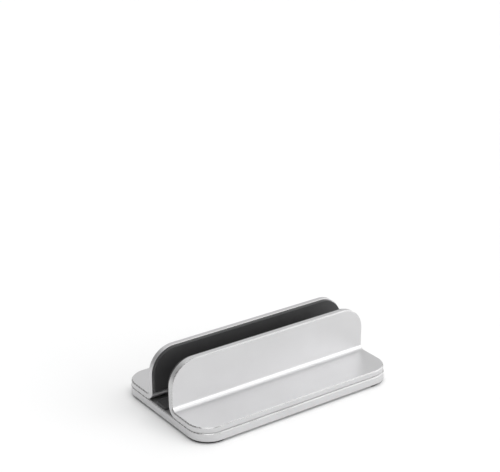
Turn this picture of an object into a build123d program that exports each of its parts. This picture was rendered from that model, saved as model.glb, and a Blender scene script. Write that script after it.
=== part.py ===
from build123d import *
import os
from math import sqrt

# Upright docking stand that holds a closed laptop on its long edge.
# Two equal aluminium angle brackets stand back to back on a flat base plate, with the laptop's
# slot between their walls. The rear bracket is fixed. The front bracket slides along Y over
# two slots in the base plate, and two clamp screws from below hold it where it is put.
# Millimetres. X runs along the slot, -Y is the front, and Z is up from the desk.

# Driving dimensions
LENGTH = 150.0          # of the brackets and the base plate, along X
BRACKET_T = 3.8         # thickness of the angle brackets
BASE_T = 5.5            # thickness of the base plate
WALL_RISE = 31.6        # a wall's height above its own toe
TOE = 31.3              # reach of a toe beyond its wall
SLOT = 15.5             # between the wall pads at rest
SLOT_MIN = 12.5         # between the wall pads, closed
SLOT_MAX = 31.5         # between the wall pads, fully open

# Outlines and edges
BEND_R = 3.0            # inside radius of the bend between wall and toe
WALL_CORNER_R = 17.0
TOE_CORNER_R = 14.0
BASE_MARGIN = 0.9       # base plate seen beyond each toe
BASE_CORNER_R = 14.5
BRIGHT_CUT = 0.6        # diamond-cut chamfer on the edges that show
SOFT_CUT = 0.25         # edge break on the hidden edges

# Pads and feet
WALL_PAD_T = 2.0
WALL_PAD_INSET = 0.8    # pad edge inside the wall's outline
FLOOR_PAD_T = 1.8
PAD_CORNER_R = 2.0
PAD_END_INSET = 1.2     # floor pad short of the plate's ends
FOOT_T = 1.5
FOOT_SIZE = 16.0        # each foot's side, in plan
FOOT_INSET = 1.2        # foot edge inside the base plate's outline
FOOT_INNER_R = 1.0
FOOT_CUT = 0.3

# M4 screws and what holds them
SCREW_X = 45.0          # each screw's distance from the middle, along X
SCREW_BACK = 8.0        # from a wall's outer face to its screws
SHANK_D = 4.0
HEAD_D = 8.0
HEAD_T = 2.3
HEAD_ROUND = 0.5
SOCKET_AF = 2.5         # hexagon socket, across its flats
SOCKET_DEEP = 1.4
THREAD_DEEP = 3.0       # engagement in a toe
TAPPED_D = 4.1
WASHER_D = 9.0
WASHER_BORE = 4.3
WASHER_T = 0.8
SLOT_W = 4.5            # a shank's slot through the base plate
TRACK_W = 10.0          # recess that a head and washer run in
TRACK_DEEP = 3.3
FACE_GAP = 0.02         # between washer, head and the faces they clamp

# Running fit between the front bracket and the base plate
SLIDE_GAP = 0.05

# Places worked out from the dimensions above
BASE_TOP = FOOT_T + BASE_T
WALL_FACE = SLOT / 2 + WALL_PAD_T + BRACKET_T       # a wall's outer face, from the slot's middle
BASE_DEPTH = 2 * (WALL_FACE + TOE + BASE_MARGIN)
SCREW_Y = WALL_FACE + SCREW_BACK
TRACK_TOP = FOOT_T + TRACK_DEEP
TRAVEL_OPEN = SLOT_MAX - SLOT
TRAVEL_CLOSE = SLOT - SLOT_MIN
SIDES = {"left": -1, "right": 1}
ENDS = {"front": -1, "rear": 1}


def at_corner(sketch, x, y):
    """The sketch's vertex nearest to a corner."""
    return sketch.vertices().sort_by_distance((x, y, 0))[0]


def rim_edges(part, on_show_side):
    """Edges round a bracket's outline, on its show side or on its hidden side."""
    chosen = []
    for edge in part.edges():
        through_thickness = abs(edge.length - BRACKET_T) < 0.01
        along_bend = edge.length > LENGTH - 1
        if through_thickness or along_bend:
            continue
        middle = edge.position_at(0.5)
        depth = max(middle.Y, BRACKET_T - middle.Z)
        if (depth < BRACKET_T / 4) == on_show_side:
            chosen.append(edge)
    return chosen


def angle_bracket():
    """Bracket with its wall's outer face on Y = 0, its toe towards -Y and its underside on Z = 0."""
    top = BRACKET_T + WALL_RISE
    with BuildPart() as bracket:
        with BuildSketch(Plane.YZ) as side:
            with BuildLine():
                Polyline((-TOE, 0), (BRACKET_T, 0), (BRACKET_T, top), (0, top), (0, BRACKET_T),
                         (-TOE, BRACKET_T), close=True)
            make_face()
            fillet(at_corner(side, 0, BRACKET_T), BEND_R)
            fillet(at_corner(side, BRACKET_T, 0), BEND_R + BRACKET_T)
        extrude(amount=LENGTH / 2, both=True)
        with BuildSketch(Plane.XZ) as front:
            with Locations((0, top / 2)):
                Rectangle(LENGTH, top)
            for side_x in SIDES.values():
                fillet(at_corner(front, side_x * LENGTH / 2, top), WALL_CORNER_R)
        extrude(amount=2 * TOE, both=True, mode=Mode.INTERSECT)
        with BuildSketch(Plane.XY) as plan:
            with Locations((0, (BRACKET_T - TOE) / 2)):
                Rectangle(LENGTH, TOE + BRACKET_T)
            for side_x in SIDES.values():
                fillet(at_corner(plan, side_x * LENGTH / 2, -TOE), TOE_CORNER_R)
        extrude(amount=top, mode=Mode.INTERSECT)
        chamfer(rim_edges(bracket.part, on_show_side=True), BRIGHT_CUT)
        chamfer(rim_edges(bracket.part, on_show_side=False), SOFT_CUT)
        with Locations(*((side_x * SCREW_X, -SCREW_BACK, 0) for side_x in SIDES.values())):
            Cylinder(TAPPED_D / 2, THREAD_DEEP + FACE_GAP, mode=Mode.SUBTRACT,
                     align=(Align.CENTER, Align.CENTER, Align.MIN))
    return bracket.part


def base_plate():
    """Plate under both brackets, with two tracks at the front and two counterbores at the rear."""
    track_middle = -(SCREW_Y + (TRAVEL_OPEN - TRAVEL_CLOSE) / 2)
    track_run = TRAVEL_OPEN + TRAVEL_CLOSE
    with BuildPart() as plate:
        with BuildSketch(Plane.XY.offset(FOOT_T)):
            RectangleRounded(LENGTH, BASE_DEPTH, BASE_CORNER_R)
        extrude(amount=BASE_T)
        chamfer(plate.edges().group_by(Axis.Z)[-1], BRIGHT_CUT)
        chamfer(plate.edges().group_by(Axis.Z)[0], SOFT_CUT)
        for side_x in SIDES.values():
            for width, deep in ((SLOT_W, BASE_T), (TRACK_W, TRACK_DEEP)):
                with BuildSketch(Plane.XY.offset(FOOT_T)):
                    with Locations((side_x * SCREW_X, track_middle)):
                        SlotCenterToCenter(track_run, width, rotation=90)
                    with Locations((side_x * SCREW_X, SCREW_Y)):
                        Circle(width / 2)
                extrude(amount=deep, mode=Mode.SUBTRACT)
    return plate.part


def wall_pad():
    """Silicone sheet for a wall's slot face, in the bracket's own frame."""
    low = BRACKET_T + BEND_R + WALL_PAD_INSET / 2
    high = BRACKET_T + WALL_RISE - WALL_PAD_INSET
    half = LENGTH / 2 - WALL_PAD_INSET
    with BuildPart() as pad:
        with BuildSketch(Plane.XZ.offset(-BRACKET_T)) as outline:
            with Locations((0, (low + high) / 2)):
                Rectangle(2 * half, high - low)
            for side_x in SIDES.values():
                fillet(at_corner(outline, side_x * half, high), WALL_CORNER_R - WALL_PAD_INSET)
                fillet(at_corner(outline, side_x * half, low), PAD_CORNER_R)
        extrude(amount=-WALL_PAD_T)
    return pad.part


def floor_pad():
    """Silicone strip that the laptop's edge stands on, clear of the closed front bracket."""
    width = SLOT_MIN - 2 * (WALL_PAD_INSET / 2)
    middle = (SLOT - SLOT_MIN) / 2
    with BuildPart() as pad:
        with BuildSketch(Plane.XY.offset(BASE_TOP)):
            with Locations((0, middle)):
                RectangleRounded(LENGTH - 2 * PAD_END_INSET, width, PAD_CORNER_R)
        extrude(amount=FLOOR_PAD_T)
    return pad.part


def corner_foot(side_x, end_y):
    """Rubber foot under one corner, rounded to follow the base plate's corner."""
    corner_x = side_x * (LENGTH / 2 - FOOT_INSET)
    corner_y = end_y * (BASE_DEPTH / 2 - FOOT_INSET)
    middle_x = corner_x - side_x * FOOT_SIZE / 2
    middle_y = corner_y - end_y * FOOT_SIZE / 2
    with BuildPart() as foot:
        with BuildSketch() as outline:
            with Locations((middle_x, middle_y)):
                Rectangle(FOOT_SIZE, FOOT_SIZE)
            for x in (-1, 1):
                for y in (-1, 1):
                    outer = (x, y) == (side_x, end_y)
                    radius = BASE_CORNER_R - FOOT_INSET if outer else FOOT_INNER_R
                    vertex = at_corner(outline, middle_x + x * FOOT_SIZE / 2, middle_y + y * FOOT_SIZE / 2)
                    fillet(vertex, radius)
        extrude(amount=FOOT_T)
        chamfer(foot.edges().group_by(Axis.Z)[0], FOOT_CUT)
    return foot.part


def socket_screw(under_head, tip):
    """M4 screw that points up, with a low round head and a hexagon socket, on the Z axis."""
    with BuildPart() as screw:
        with Locations((0, 0, under_head - HEAD_T)):
            Cylinder(HEAD_D / 2, HEAD_T, align=(Align.CENTER, Align.CENTER, Align.MIN))
        fillet(screw.edges().group_by(Axis.Z)[0], HEAD_ROUND)
        with BuildSketch(Plane.XY.offset(under_head - HEAD_T)):
            RegularPolygon(SOCKET_AF / sqrt(3), 6)
        extrude(amount=SOCKET_DEEP, mode=Mode.SUBTRACT)
        with Locations((0, 0, under_head)):
            Cylinder(SHANK_D / 2, tip - under_head, align=(Align.CENTER, Align.CENTER, Align.MIN))
        chamfer(screw.edges().group_by(Axis.Z)[-1], SOFT_CUT)
    return screw.part


def washer():
    """Flat washer under a track's ceiling, on the Z axis."""
    with BuildPart() as ring:
        with BuildSketch(Plane.XY.offset(TRACK_TOP - FACE_GAP - WASHER_T)):
            Circle(WASHER_D / 2)
            Circle(WASHER_BORE / 2, mode=Mode.SUBTRACT)
        extrude(amount=WASHER_T)
    return ring.part


def build_parts():
    """Every piece in its place at rest, by node name."""
    to_front = Pos(0, -WALL_FACE, BASE_TOP + SLIDE_GAP)
    to_rear = Pos(0, WALL_FACE, BASE_TOP) * Rot(0, 0, 180)
    clamp_under_head = TRACK_TOP - WASHER_T - 2 * FACE_GAP
    clamp_tip = BASE_TOP + SLIDE_GAP + THREAD_DEEP
    rear_tip = BASE_TOP + THREAD_DEEP
    parts = {
        "base_plate": base_plate(),
        "front_bracket": to_front * angle_bracket(),
        "rear_bracket": to_rear * angle_bracket(),
        "front_wall_pad": to_front * wall_pad(),
        "rear_wall_pad": to_rear * wall_pad(),
        "slot_floor_pad": floor_pad(),
    }
    for side, side_x in SIDES.items():
        at_front = Pos(side_x * SCREW_X, -SCREW_Y, 0)
        at_rear = Pos(side_x * SCREW_X, SCREW_Y, 0)
        parts[f"clamp_screw_{side}"] = at_front * socket_screw(clamp_under_head, clamp_tip)
        parts[f"clamp_washer_{side}"] = at_front * washer()
        parts[f"rear_screw_{side}"] = at_rear * socket_screw(TRACK_TOP, rear_tip)
        for end, end_y in ENDS.items():
            parts[f"foot_{end}_{side}"] = corner_foot(side_x, end_y)
    return parts


os.makedirs("parts", exist_ok=True)
for node, shape in build_parts().items():
    export_step(shape, f"parts/{node}.step")
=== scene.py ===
import math

import bmesh
import bpy
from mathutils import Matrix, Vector


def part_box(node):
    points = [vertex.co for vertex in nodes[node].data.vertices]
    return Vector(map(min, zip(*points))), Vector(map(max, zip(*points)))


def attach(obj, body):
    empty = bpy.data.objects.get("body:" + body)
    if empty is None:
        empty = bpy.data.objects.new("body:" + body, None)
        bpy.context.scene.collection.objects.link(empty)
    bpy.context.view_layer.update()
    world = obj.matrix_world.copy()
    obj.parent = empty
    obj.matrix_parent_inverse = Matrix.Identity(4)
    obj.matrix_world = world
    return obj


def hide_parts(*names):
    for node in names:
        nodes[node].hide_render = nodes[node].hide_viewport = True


# Looks of the upright docking stand: bead-blasted aluminium with bright cut edges, black silicone
# in the slot, rubber feet and steel screws, on a white table under soft studio light.
# Metres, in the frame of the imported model: X along the slot, -Y the front, Z up.

MM = 0.001

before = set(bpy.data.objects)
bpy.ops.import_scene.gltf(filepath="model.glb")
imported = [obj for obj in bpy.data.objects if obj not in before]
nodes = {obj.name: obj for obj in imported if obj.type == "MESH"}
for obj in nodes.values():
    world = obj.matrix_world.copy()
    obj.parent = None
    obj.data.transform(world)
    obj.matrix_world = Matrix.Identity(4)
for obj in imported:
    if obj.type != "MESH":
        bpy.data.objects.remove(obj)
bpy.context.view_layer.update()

SIDES = ("left", "right")
ENDS = ("front", "rear")

# Outlines of pads and feet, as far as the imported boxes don't give them
PAD_CORNER_R = 16.2 * MM        # upper corners of a wall pad
PAD_LOW_R = 2.0 * MM            # every other pad corner
PAD_EDGE_R = 0.45 * MM          # rolled edge of the silicone
FOOT_OUTER_R = 13.3 * MM        # the corner that follows the base plate's corner
FOOT_INNER_R = 1.0 * MM         # a foot's other corners
FOOT_EDGE_R = 0.4 * MM          # rolled edge of the rubber
ARC_STEPS = 14                  # steps in a quarter turn
ROLL_STEPS = 4                  # steps across a rolled edge
ROLLED_ABOVE = 60               # degrees between two faces of a slab whose edge is rolled
SHARP_ABOVE = 40                # degrees between two faces whose edge isn't shaded smooth

# Place of each foot's outer corner in rounded_outline's list
OUTER_CORNER = {("front", "left"): 0, ("front", "right"): 1, ("rear", "right"): 2, ("rear", "left"): 3}

# What tells bright cut edges from the rest
BRACKET_T = 3.8 * MM            # thickness of a bracket's sheet
BEND_R = 3.0 * MM               # inside radius of its bend
BEND_REACH = BEND_R + BRACKET_T  # outside radius of its bend
CUT_TOLERANCE = 0.12            # allowed gap between a normal's component and that of 45 degrees

# Textures
TEXTURE_LOW = 0.3               # texture value that gives the darker colour or the lower number
TEXTURE_HIGH = 0.7              # texture value that gives the lighter colour or the higher number
TURNING_PITCH = 0.25 * MM       # between the turning marks on steel
WAVE_RADIANS = 20               # phase that the wave texture runs through in a metre at scale 1

# Stage and camera
TABLE_HALF = 30.0               # from the table's middle to its edge
CAMERA_AZIMUTH = -35.5          # degrees round from the front, here to the left
CAMERA_ELEVATION = 21.6         # degrees above the table
CAMERA_DISTANCE = 0.843
CAMERA_AIM = Vector((8.3 * MM, 21.5 * MM, 95.6 * MM))
CAMERA_LENS = 94.8              # millimetres, on a 36 mm sensor


# ---------------------------------------------------------------- shader helpers

def new_material(name):
    """An empty node material with its Principled shader."""
    material = bpy.data.materials.new(name)
    material.use_nodes = True
    tree = material.node_tree
    return material, tree, tree.nodes["Principled BSDF"]


def object_noise(tree, scale, detail, stretch=(1, 1, 1)):
    """Noise fixed to the piece; scale is its cells in a metre."""
    place = tree.nodes.new("ShaderNodeTexCoord")
    mapping = tree.nodes.new("ShaderNodeMapping")
    mapping.inputs["Scale"].default_value = stretch
    noise = tree.nodes.new("ShaderNodeTexNoise")
    noise.inputs["Scale"].default_value = scale
    noise.inputs["Detail"].default_value = detail
    tree.links.new(place.outputs["Object"], mapping.inputs["Vector"])
    tree.links.new(mapping.outputs["Vector"], noise.inputs["Vector"])
    return noise.outputs["Fac"]


def spread(tree, value, low, high):
    """Maps a texture's value onto low to high."""
    ramp = tree.nodes.new("ShaderNodeMapRange")
    ramp.inputs["From Min"].default_value = TEXTURE_LOW
    ramp.inputs["From Max"].default_value = TEXTURE_HIGH
    ramp.inputs["To Min"].default_value = low
    ramp.inputs["To Max"].default_value = high
    tree.links.new(value, ramp.inputs["Value"])
    return ramp.outputs["Result"]


def mix_colors(tree, value, dark, light):
    """Colour between two shades, chosen by a texture's value."""
    ramp = tree.nodes.new("ShaderNodeValToRGB")
    ramp.color_ramp.elements[0].position = TEXTURE_LOW
    ramp.color_ramp.elements[1].position = TEXTURE_HIGH
    ramp.color_ramp.elements[0].color = (*dark, 1)
    ramp.color_ramp.elements[1].color = (*light, 1)
    tree.links.new(value, ramp.inputs["Fac"])
    return ramp.outputs["Color"]


def bump(tree, shader, height, depth, strength):
    """Bumps a shader by a texture's value, depth in metres."""
    node = tree.nodes.new("ShaderNodeBump")
    node.inputs["Distance"].default_value = depth
    node.inputs["Strength"].default_value = strength
    tree.links.new(height, node.inputs["Height"])
    tree.links.new(node.outputs["Normal"], shader.inputs["Normal"])


# ---------------------------------------------------------------- materials

def blasted_aluminium():
    """Satin silver anodising over a bead-blasted surface: fine even grain and a soft sheen."""
    material, tree, shader = new_material("blasted_aluminium")
    shader.inputs["Metallic"].default_value = 1.0
    cloud = object_noise(tree, scale=28, detail=3)
    silver = mix_colors(tree, cloud, dark=(0.595, 0.594, 0.599), light=(0.625, 0.624, 0.629))
    tree.links.new(silver, shader.inputs["Base Color"])
    grain = object_noise(tree, scale=4000, detail=3)
    tree.links.new(spread(tree, grain, low=0.36, high=0.44), shader.inputs["Roughness"])
    bump(tree, shader, grain, depth=0.012 * MM, strength=0.5)
    return material


def cut_aluminium():
    """Bright diamond-cut chamfer: smoother than the blasted faces, with fine tool lines."""
    material, tree, shader = new_material("cut_aluminium")
    shader.inputs["Metallic"].default_value = 1.0
    lines = object_noise(tree, scale=900, detail=1, stretch=(0.05, 1, 1))
    silver = mix_colors(tree, lines, dark=(0.50, 0.50, 0.50), light=(0.57, 0.57, 0.57))
    tree.links.new(silver, shader.inputs["Base Color"])
    tree.links.new(spread(tree, lines, low=0.24, high=0.32), shader.inputs["Roughness"])
    return material


def silicone():
    """Matt black silicone with a fine moulded grain and a little dust bloom."""
    material, tree, shader = new_material("black_silicone")
    bloom = object_noise(tree, scale=60, detail=4)
    black = mix_colors(tree, bloom, dark=(0.014, 0.014, 0.015), light=(0.024, 0.024, 0.025))
    tree.links.new(black, shader.inputs["Base Color"])
    grain = object_noise(tree, scale=1800, detail=2)
    tree.links.new(spread(tree, grain, low=0.58, high=0.74), shader.inputs["Roughness"])
    shader.inputs["Sheen Weight"].default_value = 0.15
    shader.inputs["Sheen Roughness"].default_value = 0.6
    bump(tree, shader, grain, depth=0.04 * MM, strength=0.6)
    return material


def foot_rubber():
    """Matt black rubber, coarser than the silicone."""
    material, tree, shader = new_material("foot_rubber")
    bloom = object_noise(tree, scale=120, detail=4)
    black = mix_colors(tree, bloom, dark=(0.012, 0.012, 0.012), light=(0.022, 0.021, 0.021))
    tree.links.new(black, shader.inputs["Base Color"])
    grain = object_noise(tree, scale=1100, detail=3)
    tree.links.new(spread(tree, grain, low=0.68, high=0.85), shader.inputs["Roughness"])
    bump(tree, shader, grain, depth=0.06 * MM, strength=0.7)
    return material


def turned_steel(node):
    """Plain stainless steel with fine turning marks in rings round the piece's own axis."""
    material, tree, shader = new_material(f"turned_steel_{node}")
    shader.inputs["Metallic"].default_value = 1.0
    low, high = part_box(node)
    place = tree.nodes.new("ShaderNodeTexCoord")
    to_axis = tree.nodes.new("ShaderNodeMapping")
    to_axis.inputs["Location"].default_value = (-(low.x + high.x) / 2, -(low.y + high.y) / 2, 0)
    rings = tree.nodes.new("ShaderNodeTexWave")
    rings.wave_type = "RINGS"
    rings.rings_direction = "Z"
    rings.inputs["Scale"].default_value = 2 * math.pi / (WAVE_RADIANS * TURNING_PITCH)
    rings.inputs["Distortion"].default_value = 0.6
    rings.inputs["Detail"].default_value = 2.0
    rings.inputs["Detail Scale"].default_value = 3.0
    tree.links.new(place.outputs["Object"], to_axis.inputs["Vector"])
    tree.links.new(to_axis.outputs["Vector"], rings.inputs["Vector"])
    marks = rings.outputs["Fac"]
    grey = mix_colors(tree, marks, dark=(0.50, 0.50, 0.51), light=(0.60, 0.60, 0.60))
    tree.links.new(grey, shader.inputs["Base Color"])
    tree.links.new(spread(tree, marks, low=0.24, high=0.34), shader.inputs["Roughness"])
    bump(tree, shader, marks, depth=0.006 * MM, strength=0.5)
    return material


def table_top():
    """Smooth white table with barely visible unevenness."""
    material, tree, shader = new_material("white_table")
    cloud = object_noise(tree, scale=3, detail=2)
    white = mix_colors(tree, cloud, dark=(0.90, 0.90, 0.90), light=(0.92, 0.92, 0.92))
    tree.links.new(white, shader.inputs["Base Color"])
    shader.inputs["Roughness"].default_value = 0.7
    return material


# ---------------------------------------------------------------- shapes

def arc(centre, radius, start, end):
    """Points on an arc, angles in degrees."""
    points = []
    for step in range(ARC_STEPS + 1):
        angle = math.radians(start + (end - start) * step / ARC_STEPS)
        points.append((centre[0] + radius * math.cos(angle), centre[1] + radius * math.sin(angle)))
    return points


def rounded_outline(low, high, radii):
    """Rectangle with its own radius at each corner: low-low, high-low, high-high, low-high."""
    corners = ((low[0], low[1], 1, 1), (high[0], low[1], -1, 1),
               (high[0], high[1], -1, -1), (low[0], high[1], 1, -1))
    outline = []
    for turn, ((x, y, in_x, in_y), radius) in enumerate(zip(corners, radii)):
        centre = (x + in_x * radius, y + in_y * radius)
        outline += arc(centre, radius, 180 + 90 * turn, 270 + 90 * turn)
    return outline


def slab(name, outline, to_space, thickness, edge_r, material):
    """Closed slab of an outline, with rolled edges; to_space maps (u, v, depth) to a point."""
    bm = bmesh.new()
    face = bm.faces.new([bm.verts.new(to_space(u, v, 0)) for u, v in outline])
    step = to_space(0, 0, thickness) - to_space(0, 0, 0)
    made = bmesh.ops.extrude_face_region(bm, geom=[face])
    moved = [item for item in made["geom"] if isinstance(item, bmesh.types.BMVert)]
    bmesh.ops.translate(bm, verts=moved, vec=step)
    bmesh.ops.recalc_face_normals(bm, faces=bm.faces)
    rims = [edge for edge in bm.edges if edge.calc_face_angle() > math.radians(ROLLED_ABOVE)]
    bmesh.ops.bevel(bm, geom=rims, offset=edge_r, segments=ROLL_STEPS, profile=0.5, affect="EDGES")
    mesh = bpy.data.meshes.new(name)
    bm.to_mesh(mesh)
    bm.free()
    mesh.materials.append(material)
    mesh.shade_smooth()
    mesh.set_sharp_from_angle(angle=math.radians(SHARP_ABOVE))
    piece = bpy.data.objects.new(name, mesh)
    bpy.context.scene.collection.objects.link(piece)
    return piece


def wall_pad_skin(end, body, material):
    """Silicone sheet on one wall, with rolled edges."""
    node = f"{end}_wall_pad"
    low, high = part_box(node)
    outline = rounded_outline((low.x, low.z), (high.x, high.z),
                              (PAD_LOW_R, PAD_LOW_R, PAD_CORNER_R, PAD_CORNER_R))
    skin = slab(f"{end}_wall_silicone", outline, lambda u, v, d: Vector((u, low.y + d, v)),
                high.y - low.y, PAD_EDGE_R, material)
    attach(skin, body)
    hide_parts(node)


def floor_pad_skin(material):
    """Silicone strip on the slot's floor."""
    low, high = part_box("slot_floor_pad")
    outline = rounded_outline((low.x, low.y), (high.x, high.y), (PAD_LOW_R,) * 4)
    skin = slab("slot_floor_silicone", outline, lambda u, v, d: Vector((u, v, low.z + d)),
                high.z - low.z, PAD_EDGE_R, material)
    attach(skin, "stand")
    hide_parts("slot_floor_pad")


def foot_skin(end, side, material):
    """Rubber foot that follows its corner of the base plate."""
    node = f"foot_{end}_{side}"
    low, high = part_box(node)
    radii = [FOOT_INNER_R] * 4
    radii[OUTER_CORNER[end, side]] = FOOT_OUTER_R
    outline = rounded_outline((low.x, low.y), (high.x, high.y), radii)
    skin = slab(f"rubber_foot_{end}_{side}", outline, lambda u, v, d: Vector((u, v, low.z + d)),
                high.z - low.z, FOOT_EDGE_R, material)
    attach(skin, "stand")
    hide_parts(node)


# ---------------------------------------------------------------- carried-over CAD pieces

def dress(node, material):
    """One material all over a CAD piece; returns the piece's mesh."""
    mesh = nodes[node].data
    mesh.materials.clear()
    mesh.materials.append(material)
    for polygon in mesh.polygons:
        polygon.material_index = 0
    return mesh


def at_45_degrees(slope):
    """True if a normal with this component along some axis leans about 45 degrees from it."""
    return abs(abs(slope) - math.sqrt(0.5)) < CUT_TOLERANCE


def dress_bracket(node, satin, bright):
    """Satin all over, bright on the cut edges of the side that faces away from the slot.

    The other side is the slot face of the wall, the outside of the bend and the underside of the toe.
    depth is a facet's distance from that side. slope is the component of its normal that lies at
    45 degrees on a cut edge: along X in the bend, through the sheet in the wall and the toe.
    """
    low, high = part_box(node)
    slot_face = min(abs(low.y), abs(high.y))
    mesh = dress(node, satin)
    mesh.materials.append(bright)
    for polygon in mesh.polygons:
        out = abs(polygon.center.y) - slot_face
        up = polygon.center.z - low.z
        if max(out, up) < BEND_REACH:
            depth = BEND_REACH - math.hypot(BEND_REACH - out, BEND_REACH - up)
            slope = polygon.normal.x
        else:
            depth = min(out, up)
            slope = polygon.normal.y if out < up else polygon.normal.z
        cut = depth > BRACKET_T / 2 and at_45_degrees(slope)
        polygon.material_index = int(cut)


def dress_plate(node, satin, bright):
    """Satin all over, bright on the cut edge round the top."""
    low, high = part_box(node)
    mesh = dress(node, satin)
    mesh.materials.append(bright)
    for polygon in mesh.polygons:
        cut = polygon.center.z > (low.z + high.z) / 2 and at_45_degrees(polygon.normal.z)
        polygon.material_index = int(cut)


# ---------------------------------------------------------------- stage, light and camera

def direction(azimuth, elevation):
    """Unit vector, in degrees: azimuth round from the front to the right, elevation above the table."""
    turn = math.radians(azimuth)
    rise = math.radians(elevation)
    return Vector((math.sin(turn) * math.cos(rise), -math.cos(turn) * math.cos(rise), math.sin(rise)))


def add_floor(material):
    """White table top, far larger than the view."""
    corners = [(x * TABLE_HALF, y * TABLE_HALF, 0) for x, y in ((-1, -1), (1, -1), (1, 1), (-1, 1))]
    mesh = bpy.data.meshes.new("table_top")
    mesh.from_pydata(corners, [], [(0, 1, 2, 3)])
    mesh.materials.append(material)
    floor = bpy.data.objects.new("table_top", mesh)
    bpy.context.scene.collection.objects.link(floor)


def add_box(name, azimuth, elevation, strength, width):
    """Big round soft box, far off in a direction; width is how many degrees it spans."""
    towards = direction(azimuth, elevation)
    light = bpy.data.lights.new(name, "SUN")
    light.energy = strength
    light.angle = math.radians(width)
    lamp = bpy.data.objects.new(name, light)
    lamp.location = towards
    lamp.rotation_euler = (-towards).to_track_quat("-Z", "Y").to_euler()
    bpy.context.scene.collection.objects.link(lamp)


def add_world(strength):
    """Even white surroundings."""
    world = bpy.data.worlds.new("studio")
    world.use_nodes = True
    background = world.node_tree.nodes["Background"]
    background.inputs["Color"].default_value = (1, 1, 1, 1)
    background.inputs["Strength"].default_value = strength
    bpy.context.scene.world = world


def add_camera():
    """Long lens from the front left, a little above, framed for a laptop standing in the slot."""
    away = direction(CAMERA_AZIMUTH, CAMERA_ELEVATION)
    data = bpy.data.cameras.new("camera")
    data.lens = CAMERA_LENS
    data.sensor_width = 36.0
    data.clip_start = 0.05
    data.clip_end = 100.0
    camera = bpy.data.objects.new("camera", data)
    camera.location = CAMERA_AIM + CAMERA_DISTANCE * away
    camera.rotation_euler = (-away).to_track_quat("-Z", "Y").to_euler()
    bpy.context.scene.collection.objects.link(camera)
    bpy.context.scene.camera = camera


# ---------------------------------------------------------------- assembly

satin = blasted_aluminium()
bright = cut_aluminium()
black = silicone()
rubber = foot_rubber()

dress_bracket("front_bracket", satin, bright)
dress_bracket("rear_bracket", satin, bright)
dress_plate("base_plate", satin, bright)
for side in SIDES:
    for kind in ("clamp_screw", "clamp_washer", "rear_screw"):
        dress(f"{kind}_{side}", turned_steel(f"{kind}_{side}"))
    for end in ENDS:
        foot_skin(end, side, rubber)
wall_pad_skin("front", "slider", black)
wall_pad_skin("rear", "stand", black)
floor_pad_skin(black)

add_floor(table_top())
add_world(strength=0.4)
add_box("front_box", azimuth=34, elevation=11, strength=1.35, width=56)
add_box("right_box", azimuth=70, elevation=15, strength=0.95, width=60)
add_box("rear_box", azimuth=150, elevation=25, strength=0.5, width=75)
add_box("top_box", azimuth=0, elevation=86, strength=1.45, width=60)
add_box("edge_box", azimuth=56, elevation=49, strength=0.11, width=20)
add_camera()
bpy.context.scene.view_settings.view_transform = "Standard"
